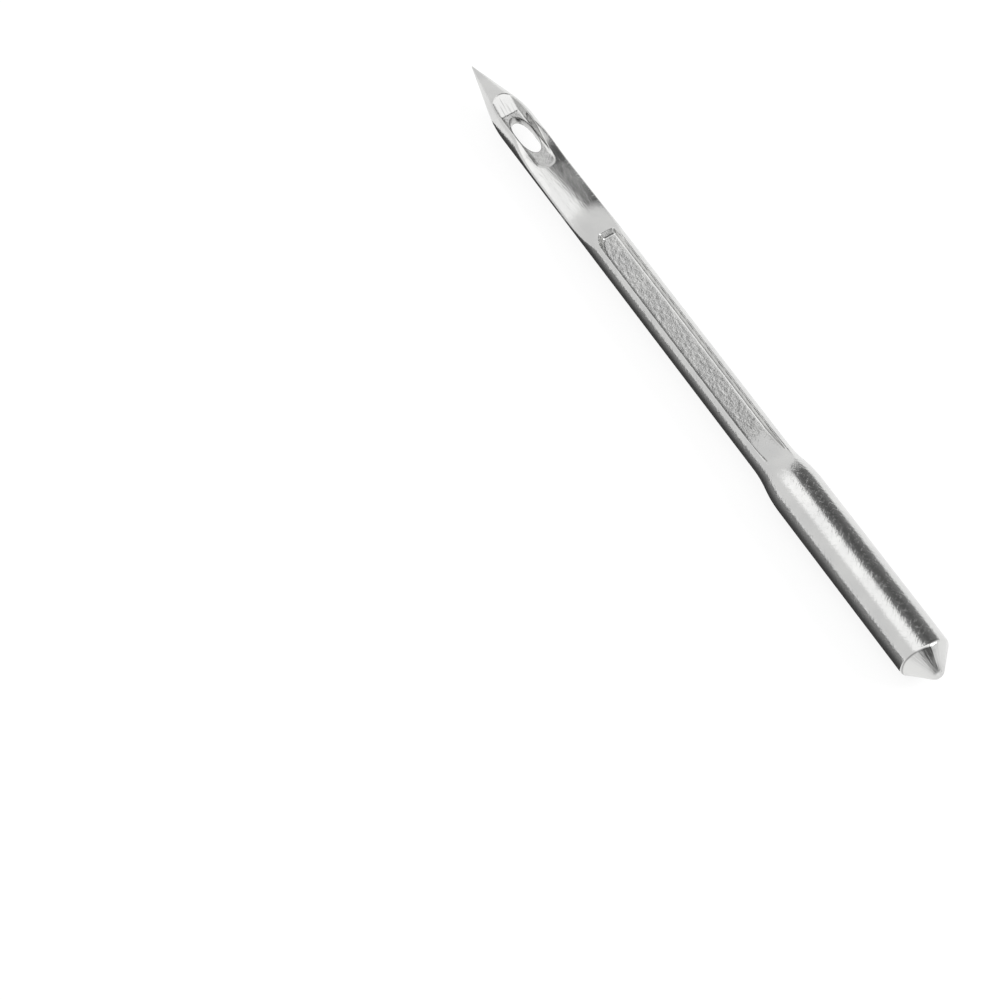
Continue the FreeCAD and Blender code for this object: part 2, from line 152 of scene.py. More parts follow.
# Darkening of the steel: painted shade round the eye, in its wall, on the shoulder and in the
# groove's creases, and wear on the ramp
EYE_SHADE_REACH = 0.06
EYE_WALL_SHADE = 0.8
CREASE_SHADE_WIDTH = 0.035
CREASE_SHADE_SIDE = 0.45
CREASE_SHADE_FADE = (13.5, 16.0)
SHOULDER_SHADE_PLACE = 1.15
SHOULDER_SHADE_WIDTH = 0.055
SHOULDER_SHADE_SIDE = (-0.45, 0.15)
WEAR_SHARE = 0.6
WEAR_FADE = (0.1, 0.45)

# Columns of the mesh over a quarter of the girth, from the middle to the side
RIM_COLUMNS = 4
FLOOR_COLUMNS = 9
WALL_COLUMNS = 11
LAND_COLUMNS = 15
FLOOR_EDGE = 0.46
MOUTH_EDGE = 0.67
LEAST_RIM = 0.03
LEAST_FLOOR = 0.02
EYE_WALL_ROWS = 5

# Search for the surface
HALVINGS = 30
SEARCH_MARGIN = 0.01
MERGE_DISTANCE = 1e-7
LEAST_STEEPNESS = 0.01

# Noise of the steel's finish, on its map in millimetres
STROKES = {"scale": 2.2, "detail": 2.0, "stretch": (5, 1.1, 1)}
STROKE_TURN = math.radians(45)
SPECKS = {"scale": 16, "detail": 2.0}
PRESSED = {"scale": 12, "detail": 3.0}
SCRATCHES = {"scale": 3, "detail": 3.0, "stretch": (4.5, 0.7, 1)}
CONE_LINES = {"scale": 11, "detail": 4.0, "stretch": (1, 40, 1)}
CLOUDS = {"scale": 0.6, "detail": 4.0}
BUMP_DISTANCE = 0.002
# How far the painted shade and the ramp's wear darken the steel
SHADE_AND_WEAR_DARKNESS = 0.65

# Painted shade: dark card on the floor beside the needle, seen only in the steel's reflections,
# standing in for shade on the floor there
CARD_ACROSS = (-19.0, -0.7)
CARD_ALONG = (1.8, 40.3)
CARD_LIFT = 0.02
CARD_SHADE_FADE = (-6, -1)
CARD_SHADE_TONES = (0.24, 0.07)

# Light tent. Each part lies within limits on its direction: the axis, then the values at
# which the part begins and is full.
TENT_LEVEL = 0.86
BOX_GAIN = 0.44
PANEL_LEVEL = 0.13
SOFT_BOX = (("X", -0.62, -0.45), ("X", 0.52, 0.4), ("Y", -0.75, -0.6), ("Y", 0.7, 0.6),
            ("Z", 0.35, 0.55))
RIGHT_PANEL = (("Y", 0.14, 0.3), ("Y", 0.72, 0.58), ("Z", 0.0, 0.08))
RIGHT_PANEL_MIDDLE = 0.54
RIGHT_PANEL_SLANT = 1.2
RIGHT_PANEL_EDGE = (0.09, 0.43)
RIGHT_PANEL_FADE = (0.6, 0.95, 1.0, 0.7)
NEAR_PANEL = (("X", -0.42, -0.28), ("X", 0.52, 0.4), ("Y", -0.5, -0.58), ("Z", 0.2, 0.3),
              ("Z", 0.76, 0.68))


def smooth_max(first, second, width):
    """Larger of two values, rounded off where they differ by less than the width."""
    overlap = np.maximum(width - np.abs(first - second), 0.0)
    return np.maximum(first, second) + overlap ** 2 / (4 * width)


def smooth_min(first, second, width):
    return -smooth_max(-first, -second, width)


def blend(value, start, end):
    """0 before the start and 1 after the end, with a smooth change between them."""
    share = np.clip((value - start) / (end - start), 0.0, 1.0)
    return share ** 2 * (3 - 2 * share)


def arc_rise(distance, radius):
    """Height gained on an arc that leaves a level line, after some distance along it."""
    run = np.clip(distance, 0.0, radius)
    return radius - np.sqrt(radius ** 2 - run ** 2)


def wobble(y, phase):
    """Small unevenness along the needle, between -1 and 1, that never repeats."""
    return sum(share * np.sin(y * rate + number * phase)
               for number, (share, rate) in enumerate(WALL_WAVES, start=1))


def blank_radius(y):
    """Radius of the turned form at a distance from the butt end."""
    sine, cosine = math.sin(BUTT_HALF_ANGLE), math.cos(BUTT_HALF_ANGLE)
    nose_end = NOSE_RADIUS * (1 - sine)
    shoulder = NOSE_RADIUS + ((SHANK_RADIUS - SHOULDER_RADIUS) * cosine
                              + SHOULDER_RADIUS - NOSE_RADIUS) / sine
    drop = SHANK_RADIUS - BLADE_RADIUS
    taper = (TAPER_LENGTH ** 2 + drop ** 2) / (4 * drop)
    taper_end = SHANK_LENGTH + TAPER_LENGTH
    apex = LENGTH - TIP_RADIUS + TIP_RADIUS / math.sin(POINT_HALF_ANGLE)
    slope = math.tan(POINT_HALF_ANGLE)
    cone_radius = BLADE_RADIUS - POINT_BLEND_RADIUS * (1 - math.cos(POINT_HALF_ANGLE))
    cone_start = apex - cone_radius / slope
    blade_end = cone_start - POINT_BLEND_RADIUS * math.sin(POINT_HALF_ANGLE)
    tip_start = LENGTH - TIP_RADIUS * (1 - math.sin(POINT_HALF_ANGLE))

    def ball(centre, size):
        return np.sqrt(np.maximum(size ** 2 - (y - centre) ** 2, 0.0))

    spans = [
        (nose_end, ball(NOSE_RADIUS, NOSE_RADIUS)),
        (shoulder - SHOULDER_RADIUS * sine,
         NOSE_RADIUS * cosine + (y - nose_end) * sine / cosine),
        (shoulder, SHANK_RADIUS - SHOULDER_RADIUS + ball(shoulder, SHOULDER_RADIUS)),
        (SHANK_LENGTH, np.full_like(y, SHANK_RADIUS)),
        (SHANK_LENGTH + TAPER_LENGTH / 2,
         SHANK_RADIUS - arc_rise(y - SHANK_LENGTH, taper)),
        (taper_end, BLADE_RADIUS + arc_rise(taper_end - y, taper)),
        (blade_end, np.full_like(y, BLADE_RADIUS)),
        (cone_start, BLADE_RADIUS - arc_rise(y - blade_end, POINT_BLEND_RADIUS)),
        (tip_start, (apex - y) * slope),
        (LENGTH + 1, ball(LENGTH - TIP_RADIUS, TIP_RADIUS)),
    ]
    return np.select([y < end for end, _ in spans], [radius for _, radius in spans])


def butt_shift(x, y, z):
    """How far the butt cone is ground off along the needle, unevenly round its shoulder."""
    turn = np.arctan2(x, z)
    uneven_turn = 0.5 * np.sin(3 * turn + 1.2) + 0.3 * np.sin(7 * turn) + 0.2 * np.sin(13 * turn)
    shift = SHOULDER_LEAN * np.cos(turn - SHOULDER_LEAN_SIDE) + SHOULDER_WOBBLE * uneven_turn
    shift = shift * np.cos(turn) ** 2 * blend(y, *CONE_LEAN_FADE)
    return np.where(y < BUTT_REGION, shift, 0.0)


def outside_blank(x, y, z):
    """Distance from the turned form."""
    return np.hypot(x, z) - blank_radius(y + butt_shift(x, y, z))


def ramp_rise(y):
    """Height of a groove's floor toward the point above its level part."""
    past = y - RAMP_FOOT
    bend = RAMP_BLEND_RADIUS * math.sin(RAMP_ANGLE)
    bend_rise = RAMP_BLEND_RADIUS * (1 - math.cos(RAMP_ANGLE))
    straight = bend_rise + (past - bend) * math.tan(RAMP_ANGLE)
    return np.where(past < bend, arc_rise(past, RAMP_BLEND_RADIUS), straight)


def scarf_height(x, y):
    """Height of the scarf: level in the middle, with an arc at each end and a leaning crown."""
    leaning = blend(y, SCARF_FLOOR_END, SCARF_LEAN_END) - SCARF_LEAN_LEVEL
    from_ridge = x + SCARF_LEAN * leaning
    crown = SCARF_CROWN_RADIUS - np.sqrt(SCARF_CROWN_RADIUS ** 2 - from_ridge ** 2)
    return (SCARF_HEIGHT - crown + arc_rise(y - SCARF_FLOOR_START, SCARF_POINT_RADIUS)
            + arc_rise(SCARF_FLOOR_END - y, SCARF_BUTT_RADIUS))


def inside_walls(across, above, angle, y, phase):
    """Distance from a groove's drafted wall, positive inside the groove."""
    half = FLOOR_HALF + WALL_WOBBLE * wobble(y, phase)
    return (half + above * np.tan(angle) - across) * np.cos(angle)


def front_groove_faces(x, y, z):
    """Distances from the floor and from the outline of the long groove on the scarf side."""
    above = z - LONG_FLOOR_HEIGHT - arc_rise(FRONT_FLOOR_END - y, RUNOUT_RADIUS)
    wall_angle = np.where(x > 0, STEEP_WALL_ANGLE, LONG_WALL_ANGLE)
    side = inside_walls(np.abs(x) - WIDER_SIDE * (x > 0), above, wall_angle, y, np.sign(x))
    start = FRONT_GROOVE_START + above * math.tan(START_WALL_ANGLE) - y
    reach_across = np.where(x > 0, SQUARE_CORNER, LONG_CORNER_ACROSS)
    reach_along = np.where(x > 0, SQUARE_CORNER, LONG_CORNER_ALONG)
    from_side = np.maximum(1 - side / reach_across, 0.0)
    from_start = np.maximum(1 - start / reach_along, 0.0)
    from_corner = (from_side ** CORNER_POWER + from_start ** CORNER_POWER) ** (1 / CORNER_POWER)
    side_share = from_side ** 2 / np.maximum(from_side ** 2 + from_start ** 2, MERGE_DISTANCE)
    reach = side_share * reach_across + (1 - side_share) * reach_along
    in_corner = (from_side > 0) & (from_start > 0)
    outline = np.where(in_corner, (1 - from_corner) * reach, np.minimum(side, start))
    return above, outline


def inside_front_groove(x, y, z):
    """How deep a point lies in the long groove on the scarf side."""
    above, outline = front_groove_faces(x, y, z)
    return smooth_min(above, outline, FLOOR_FILLET)


def inside_short_groove(x, y, z):
    """How deep a point lies in the groove round the eye, which has a round end."""
    above = z - SHORT_FLOOR_HEIGHT - ramp_rise(y)
    round_middle = SHORT_GROOVE_END + FLOOR_HALF
    across = np.hypot(x, np.minimum(y - round_middle, 0.0))
    side = inside_walls(across, above, SHORT_WALL_ANGLE, y, SHORT_GROOVE_PHASE + np.sign(x))
    return smooth_min(above, side, FLOOR_FILLET)


def inside_back_groove(x, y, z):
    """How deep a point lies in the long groove on the back, with z measured down."""
    above = (z - LONG_FLOOR_HEIGHT - ramp_rise(y)
             - arc_rise(BACK_FLOOR_END - y, RUNOUT_RADIUS))
    side = inside_walls(np.abs(x), above, LONG_WALL_ANGLE, y, BACK_GROOVE_PHASE + np.sign(x))
    return smooth_min(above, side, FLOOR_FILLET)


def mouth_rounding(y, floor_end):
    """The edges of a long groove are buffed away toward its run-out."""
    buffed = blend(floor_end - y, *RUNOUT_ROUNDING_FADE)
    return MOUTH_ROUNDING + (RUNOUT_ROUNDING - MOUTH_ROUNDING) * buffed


def front_mouth_rounding(y):
    """The long groove on the scarf side also has a sharper edge at its start."""
    past_start = blend(FRONT_GROOVE_START - y, 0.0, START_ROUNDING_REACH)
    return START_ROUNDING + (mouth_rounding(y, FRONT_FLOOR_END) - START_ROUNDING) * past_start


def front_level(x, y, z):
    """Positive outside the steel on the scarf side, negative in it."""
    level = smooth_max(outside_blank(x, y, z), z - scarf_height(x, y), SCARF_ROUNDING)
    level = smooth_max(level, inside_front_groove(x, y, z), front_mouth_rounding(y))
    return smooth_max(level, inside_short_groove(x, y, z), MOUTH_ROUNDING)


def back_level(x, y, z):
    """The same for the back, with z measured down."""
    return smooth_max(outside_blank(x, y, -z), inside_back_groove(x, y, z),
                      mouth_rounding(y, BACK_FLOOR_END))


def surface_height(level, x, y):
    """Height of the steel's surface over each place, found by halving."""
    low = np.zeros_like(x)
    high = np.full_like(x, SHANK_RADIUS + SEARCH_MARGIN)
    for _ in range(HALVINGS):
        middle = (low + high) / 2
        outside = level(x, y, middle) > 0
        high = np.where(outside, middle, high)
        low = np.where(outside, low, middle)
    return low


def eye_half_width(y, margin):
    """Half the width of the eye's outline, widened by a margin, or 0 beyond its ends."""
    past = np.abs(y - EYE_MIDDLE) - EYE_STRAIGHT_HALF
    share = np.maximum(past, 0.0) / (EYE_END_LENGTH + margin)
    return (EYE_HALF_WIDTH + margin) * np.sqrt(np.maximum(1 - share ** 2, 0.0))


def from_eye(x, y):
    """Distance from the eye's outline, positive outside it."""
    past = np.maximum(np.abs(y - EYE_MIDDLE) - EYE_STRAIGHT_HALF, 0.0)
    share = np.hypot(x / EYE_HALF_WIDTH, past / EYE_END_LENGTH)
    steepness = np.hypot(x / EYE_HALF_WIDTH ** 2, past / EYE_END_LENGTH ** 2)
    return (share - 1) * share / np.maximum(steepness, LEAST_STEEPNESS)


def rim_drop(x, y):
    """How far the rounded rim of the eye lies under the groove floor."""
    inward = EYE_RIM - np.clip(from_eye(x, y), 0.0, EYE_RIM)
    return EYE_RIM - np.sqrt(EYE_RIM ** 2 - inward ** 2)


def stations():
    """Distances from the butt end, closer together where the form changes faster."""
    quarter_turn = np.linspace(0, math.pi / 2, 27)
    rim_turn = 1 - np.cos(np.linspace(0, math.pi / 2, RIM_COLUMNS + 1))
    eye_end = EYE_END_LENGTH * np.sin(quarter_turn)
    eye_butt = EYE_MIDDLE - EYE_HALF_LENGTH
    eye_point = EYE_MIDDLE + EYE_HALF_LENGTH
    shoulder_start, shoulder_end = 0.9, 1.5
    blade_start = SHANK_LENGTH + TAPER_LENGTH
    before_start, after_start = FRONT_GROOVE_START - 0.1, FRONT_GROOVE_START + 0.5
    before_short = SHORT_GROOVE_END - 0.3
    point_start, tip_start = LENGTH - 2.6, LENGTH - 0.1
    parts = [
        NOSE_RADIUS * (1 - np.cos(np.linspace(0, math.pi / 2 - BUTT_HALF_ANGLE, 9))),
        np.linspace(NOSE_RADIUS * (1 - math.sin(BUTT_HALF_ANGLE)), shoulder_start, 20),
        np.linspace(shoulder_start, shoulder_end, 31),
        np.linspace(shoulder_end, SHANK_LENGTH, 24),
        np.linspace(SHANK_LENGTH, blade_start, 40),
        np.linspace(blade_start, before_start, 200),
        np.linspace(before_start, after_start, 42),
        np.linspace(after_start, before_short, 64),
        np.linspace(before_short, eye_butt - EYE_RIM, 44),
        eye_butt - EYE_RIM * rim_turn,
        EYE_MIDDLE - EYE_STRAIGHT_HALF - eye_end,
        np.linspace(EYE_MIDDLE - EYE_STRAIGHT_HALF, EYE_MIDDLE + EYE_STRAIGHT_HALF, 6),
        EYE_MIDDLE + EYE_STRAIGHT_HALF + eye_end,
        eye_point + EYE_RIM * rim_turn,
        np.linspace(eye_point + EYE_RIM, point_start, 48),
        np.linspace(point_start, tip_start, 20),
        LENGTH - TIP_RADIUS * (1 - np.cos(np.linspace(0, math.pi / 2, 7))),
    ]
    return np.unique(np.round(np.concatenate(parts), 6))


def columns(y):
    """Distances from the middle plane to the side of the needle, one row per station."""
    radius = blank_radius(y)
    scale = np.minimum(radius / BLADE_RADIUS, 1.0)
    hole = eye_half_width(y, 0.0)
    rim = np.maximum(eye_half_width(y, EYE_RIM), hole + LEAST_RIM * scale)
    floor_edge = np.maximum(FLOOR_EDGE * scale, rim + LEAST_FLOOR * scale)
    mouth = np.maximum(MOUTH_EDGE * scale, floor_edge)
    side_turn = np.arccos(mouth / np.maximum(radius, MERGE_DISTANCE))
    rim_share = 1 - np.cos(np.linspace(0, math.pi / 2, RIM_COLUMNS + 1))
    floor_share = np.linspace(0, 1, FLOOR_COLUMNS + 1)[1:]
    wall_share = np.linspace(0, 1, WALL_COLUMNS + 1)[1:]
    land_share = np.linspace(1, 0, LAND_COLUMNS + 1)[1:]
    return np.hstack([
        hole + (rim - hole) * rim_share,
        rim + (floor_edge - rim) * floor_share,
        floor_edge + (mouth - floor_edge) * wall_share,
        radius * np.cos(side_turn * land_share),
    ])


def uneven(x, y, grain, share):
    """Noise of one grain, worked out only where its face has a share in the surface."""
    across, along, seed = grain
    result = np.zeros_like(x)
    for row, column in np.argwhere(share > LEAST_SHARE):
        place = (x[row, column] / across, y[row, 0] / along, seed)
        result[row, column] = noise.noise(place)
    return result


def faces_of_skin(x, y, z, front):
    """Shares of each place: cut at all, groove floor, pressed grain, ground scarf and ramp."""
    cut = blend(blank_radius(y) - np.hypot(x, z), *CUT_DEPTH_FADE)
    floor = blend(FLOOR_HALF - np.abs(x), 0.0, FLOOR_SIDE_FADE) * cut
    past_foot = blend(y, RAMP_FOOT, RAMP_FOOT + FOOT_FADE)
    if front:
        from_start = FRONT_GROOVE_START - y
        pressed = floor * blend(from_start, 0.0, GRAIN_START_FADE) * blend(y, *FRONT_GRAIN_FADE)
        short_floor = floor * blend(y, SHORT_GROOVE_END, SHORT_GROOVE_END + SHORT_END_FADE)
        scarf = cut * (1 - blend(from_start, -SCARF_BUTT_FADE, SCARF_BUTT_FADE))
        scarf = scarf * (1 - short_floor)
    else:
        pressed = floor * (1 - past_foot) * blend(y, *BACK_GRAIN_FADE)
        scarf = np.zeros_like(x)
    return cut, floor, pressed, scarf, floor * past_foot


def finish_height(x, y, pressed, scarf, ramp):
    """Height of the pressed grain, the ramp's streaks and the scarf's ripples."""
    coarse = uneven(x, y, COARSE_GRAIN, pressed)
    fine = uneven(x, y, FINE_GRAIN, pressed)
    return (GRAIN_HEIGHT * pressed * (0.65 * coarse + 0.5 * fine)
            + STREAK_HEIGHT * uneven(x, y, RAMP_STREAKS, ramp) * ramp
            + RIPPLE_HEIGHT * uneven(x, y, SCARF_RIPPLES, scarf) * scarf)


def front_crease_shade(x, y, z):
    """Painted shade: 1 in the corner between the long groove's floor and its walls, 0 away from
    it.
    """
    above, outline = front_groove_faces(x, y, z)
    near = 1 - blend(np.abs(above - outline), 0.0, CREASE_SHADE_WIDTH)
    return near * blend(y, *CREASE_SHADE_FADE) * (x < CREASE_SHADE_SIDE)


def painted_shade_and_wear(x, y, z, front, ramp):
    """Share of darkening: painted shade round the eye, on the shoulder and in creases, and wear on
    the ramp.
    """
    # Painted shade round the eye and on one side of the shoulder, in the groove's creases on the
    # front; random wear on the ramp
    eye_shade = 1 - blend(from_eye(x, y), EYE_RIM / 2, EYE_SHADE_REACH)
    from_shoulder = np.abs(y + butt_shift(x, y, z) - SHOULDER_SHADE_PLACE)
    shoulder_shade = 1 - blend(from_shoulder, 0.0, SHOULDER_SHADE_WIDTH)
    worn = blend(uneven(x, y, RAMP_WEAR, ramp), *WEAR_FADE)
    shade_and_wear = [eye_shade, shoulder_shade * blend(-x, *SHOULDER_SHADE_SIDE), WEAR_SHARE * ramp * worn]
    if front:
        shade_and_wear.append(front_crease_shade(x, y, z))
    return np.maximum.reduce(shade_and_wear)


class Surface:
    """Vertices, faces and surface values of the needle before its seams are joined."""

    def __init__(self):
        self.points = []
        self.uvs = []
        self.masks = {"grain": [], "ground": [], "streaks": [], "shade_and_wear": []}
        self.faces = []
        self.count = 0

    def add_grid(self, points, uvs, masks):
        """Adds rows of points with a face between each four neighbours."""
        rows, width = points.shape[:2]
        number = self.count + np.arange(rows * width).reshape(rows, width)
        self.faces.append(np.stack([number[:-1, :-1], number[1:, :-1],
                                    number[1:, 1:], number[:-1, 1:]], axis=-1).reshape(-1, 4))
        self.points.append(points.reshape(-1, 3))
        self.uvs.append(uvs.reshape(-1, 2))
        for name, values in self.masks.items():
            values.append(np.broadcast_to(masks.get(name, 0.0), (rows, width)).ravel())
        self.count += rows * width


def quarter(surface, y, front, hand):
    """Adds a quarter of the needle's skin and returns the edge at its middle plane."""
    side = 1 if front else -1
    x = hand * columns(y)
    z = surface_height(front_level if front else back_level, x, y)
    cut, floor, pressed, scarf, ramp = faces_of_skin(x, y, z, front)
    z = z + finish_height(x, y, pressed, scarf, ramp) - rim_drop(x, y)
    along = np.broadcast_to(y, x.shape)
    angle = np.arctan2(x, side * np.maximum(z, 0.0))
    flat_share = cut * (1 - blend(np.abs(x), *FLAT_MAP_FADE)) if front else floor
    girth = flat_share * x + (1 - flat_share) * angle * blank_radius(y)
    points = np.stack([x, along, side * z], axis=-1)
    uvs = np.stack([girth, along], axis=-1)
    surface.add_grid(points, uvs, {
        "grain": pressed,
        "ground": np.maximum(scarf, ramp),
        "streaks": 1 - blend(along, *CONE_STREAKS_FADE),
        # Share of painted shade round the eye, on the shoulder and in the creases, and of wear on
        # the ramp
        "shade_and_wear": painted_shade_and_wear(x, y, side * z, front, ramp),
    })
    return points[:, 0]


def eye_walls(surface, y, hand, top, bottom):
    """Adds one side of the wall inside the eye, between the two rounded rims."""
    inside = np.abs(y[:, 0] - EYE_MIDDLE) < EYE_HALF_LENGTH + MERGE_DISTANCE
    share = np.linspace(0, 1, EYE_WALL_ROWS + 1)[None, :, None]
    points = top[inside][:, None] * (1 - share) + bottom[inside][:, None] * share
    uvs = np.stack([hand * (EYE_HALF_WIDTH + points[..., 2]), points[..., 1]], axis=-1)
    surface.add_grid(points, uvs, {
        "ground": 0.5,
        # Painted shade on the eye's wall, darkest at its upper rim and none at its lower rim
        "shade_and_wear": EYE_WALL_SHADE * (1 - share[..., 0]),
    })


def needle_mesh():
    """The whole skin as one closed mesh, with a map in millimetres and surface values."""
    surface = Surface()
    y = stations()[:, None]
    for hand in (1, -1):
        top = quarter(surface, y, True, hand)
        bottom = quarter(surface, y, False, hand)
        eye_walls(surface, y, hand, top, bottom)
    points = np.concatenate(surface.points) * MM
    faces = np.concatenate(surface.faces)
    mesh = bpy.data.meshes.new("needle_skin")
    mesh.from_pydata(points.tolist(), [], faces.tolist())
    uvs = np.concatenate(surface.uvs)[faces.ravel()]
    mesh.uv_layers.new(name="millimetres").data.foreach_set("uv", uvs.ravel())
    for name, values in surface.masks.items():
        attribute = mesh.attributes.new(name, "FLOAT", "POINT")
        attribute.data.foreach_set("value", np.concatenate(values))

    work = bmesh.new()
    work.from_mesh(mesh)
    bmesh.ops.remove_doubles(work, verts=work.verts, dist=MERGE_DISTANCE)
    bmesh.ops.recalc_face_normals(work, faces=work.faces)
    for face in work.faces:
        face.smooth = True
    print("open edges", sum(len(edge.link_faces) != 2 for edge in work.edges),
          "faces", len(work.faces))
    work.to_mesh(mesh)
    work.free()
    return mesh


def grey(level):
    """Neutral colour with the given level."""
    return (level, level, level, 1.0)


class Nodes:
    """Small helper that adds shader nodes and links them in one call each."""

    def __init__(self, owner):
        owner.use_nodes = True
        self.tree = owner.node_tree
        self.tree.nodes.clear()

    def add(self, kind, values=None, **settings):
        node = self.tree.nodes.new(kind)
        for name, value in settings.items():
            setattr(node, name, value)
        for socket, value in (values or {}).items():
            if isinstance(value, bpy.types.NodeSocket):
                self.tree.links.new(value, node.inputs[socket])
            else:
                node.inputs[socket].default_value = value
        return node

    def math(self, operation, first, second=0.0, clamp=False):
        node = self.add("ShaderNodeMath", {0: first, 1: second}, operation=operation,
                        use_clamp=clamp)
        return node.outputs[0]

    def spread(self, value, start, end, low=0.0, high=1.0):
        """Maps a value from one range to another, smoothly and within limits."""
        node = self.add("ShaderNodeMapRange", {
            "Value": value, "From Min": start, "From Max": end, "To Min": low, "To Max": high},
            interpolation_type="SMOOTHSTEP")
        return node.outputs["Result"]

    def mix(self, factor, first, second):
        """Mixes two colours."""
        node = self.add("ShaderNodeMix", {"Factor": factor, "A": first, "B": second},
                        data_type="RGBA")
        return node.outputs["Result"]

    def mask(self, name):
        return self.add("ShaderNodeAttribute", attribute_name=name).outputs["Fac"]

    def noise(self, place, scale, detail, stretch=(1, 1, 1), turn=0.0):
        """Noise whose grain is stretched and turned on the surface's map."""
        mapping = self.add("ShaderNodeMapping", {
            "Vector": place, "Rotation": (0, 0, turn), "Scale": [1 / part for part in stretch]},
            vector_type="TEXTURE")
        node = self.add("ShaderNodeTexNoise", {
            "Vector": mapping.outputs["Vector"], "Scale": scale, "Detail": detail})
        return node.outputs["Fac"]


def needle_material():
    """Nickel-plated steel: polished skin, pressed grain, ground scarf and turned butt cone."""
    material = bpy.data.materials.new("plated_steel")
    nodes = Nodes(material)
    flat_map = nodes.add("ShaderNodeUVMap", uv_map="millimetres").outputs["UV"]
    solid_map = nodes.add("ShaderNodeTexCoord").outputs["Object"]
    grain = nodes.mask("grain")
    ground = nodes.mask("ground")
    streaks = nodes.mask("streaks")
    special = nodes.math("MAXIMUM", nodes.math("MAXIMUM", grain, ground), streaks)
    polished = nodes.math("SUBTRACT", 1.0, special, clamp=True)

    turned_left = nodes.noise(flat_map, turn=STROKE_TURN, **STROKES)
    turned_right = nodes.noise(flat_map, turn=-STROKE_TURN, **STROKES)
    strokes = nodes.math("ADD", nodes.spread(turned_left, 0.52, 0.7),
                         nodes.spread(turned_right, 0.52, 0.7))
    specks = nodes.noise(flat_map, **SPECKS)
    pressed = nodes.noise(flat_map, **PRESSED)
    scratches = nodes.noise(flat_map, **SCRATCHES)
    place = nodes.add("ShaderNodeSeparateXYZ", {"Vector": solid_map})
    around = nodes.math("ARCTAN2", place.outputs["X"], place.outputs["Z"])
    cone_map = nodes.add("ShaderNodeCombineXYZ", {"X": around, "Y": place.outputs["Y"]})
    cone_lines = nodes.noise(cone_map.outputs["Vector"], **CONE_LINES)

    def layered(values):
        """Sum of several values, each weighted by its mask and strength."""
        total = None
        for value, mask, strength in values:
            part = nodes.math("MULTIPLY", nodes.math("MULTIPLY", value, mask), strength)
            total = part if total is None else nodes.math("ADD", total, part)
        return total

    height = layered([
        (strokes, polished, 1.3),
        (specks, polished, 1.5),
        (pressed, grain, 5.0),
        (scratches, ground, 4.0),
        (cone_lines, streaks, 10.0),
    ])
    bump = nodes.add("ShaderNodeBump", {"Height": height, "Strength": 1.0,
                                        "Distance": BUMP_DISTANCE * MM})
    roughness = layered([
        (nodes.spread(strokes, 0.0, 1.0, 0.13, 0.2), polished, 1.0),
        (nodes.spread(pressed, 0.3, 0.7, 0.2, 0.28), grain, 1.0),
        (nodes.spread(scratches, 0.3, 0.7, 0.12, 0.2), ground, 1.0),
        (nodes.spread(cone_lines, 0.3, 0.7, 0.09, 0.16), streaks, 1.0),
    ])
    clouds = nodes.spread(nodes.noise(flat_map, **CLOUDS), 0.3, 0.7)
    tint = nodes.mix(clouds, (0.65, 0.65, 0.645, 1.0), (0.71, 0.71, 0.7, 1.0))
    # Painted shade round the eye, in its wall, on the shoulder and in the groove's creases, with
    # wear on the ramp, darkens the base colour
    shade_and_wear_darkening = nodes.math("MULTIPLY", nodes.mask("shade_and_wear"), SHADE_AND_WEAR_DARKNESS)
    shader = nodes.add("ShaderNodeBsdfPrincipled", {
        "Base Color": nodes.mix(shade_and_wear_darkening, tint, grey(0.1)), "Metallic": 1.0,
        "Roughness": roughness, "Normal": bump.outputs["Normal"]})
    nodes.add("ShaderNodeOutputMaterial", {"Surface": shader.outputs["BSDF"]})
    return material


def make_needle():
    piece = bpy.data.objects.new("needle_skin", needle_mesh())
    bpy.context.scene.collection.objects.link(piece)
    piece.data.materials.append(needle_material())
    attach(piece, "root")
    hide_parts("needle")


def flat_sheet(name, across, along, height, material):
    """Level sheet between two limits across and two along, all in metres."""
    left, right = across
    near, far = along
    corners = [(left, near, height), (right, near, height), (right, far, height),
               (left, far, height)]
    mesh = bpy.data.meshes.new(name)
    mesh.from_pydata(corners, [], [(0, 1, 2, 3)])
    mesh.materials.append(material)
    sheet = bpy.data.objects.new(name, mesh)
    bpy.context.scene.collection.objects.link(sheet)
    return sheet


def paper_material():
    """White paper. Where it is seen, it mostly glows, so that it stays white and shadows faint."""
    material = bpy.data.materials.new("white_paper")
    nodes = Nodes(material)
    path = nodes.add("ShaderNodeLightPath").outputs
    seen = nodes.math("ADD", path["Is Camera Ray"], path["Is Glossy Ray"])
    seen = nodes.math("ADD", seen, path["Is Transmission Ray"], clamp=True)
    place = nodes.add("ShaderNodeTexCoord").outputs["Object"]
    fibre = nodes.add("ShaderNodeTexNoise", {"Vector": place, "Scale": 900.0, "Detail": 3.0})
    tone = nodes.mix(fibre.outputs["Fac"], grey(0.79), grey(0.83))
    paper = nodes.add("ShaderNodeBsdfDiffuse", {"Color": nodes.mix(seen, tone, grey(0.22))})
    lift = nodes.add("ShaderNodeEmission", {
        "Color": grey(1), "Strength": nodes.math("MULTIPLY", seen, 0.81)})
    both = nodes.add("ShaderNodeAddShader", {0: paper.outputs["BSDF"],
                                             1: lift.outputs["Emission"]})
    nodes.add("ShaderNodeOutputMaterial", {"Surface": both.outputs["Shader"]})
    return material


def make_floor():
    """Plain white floor that the shank lies on. It keeps the needle's soft shadow."""
    reach = (-0.6, 0.6)
    floor = flat_sheet("floor", reach, reach, -SHANK_RADIUS * MM, paper_material())


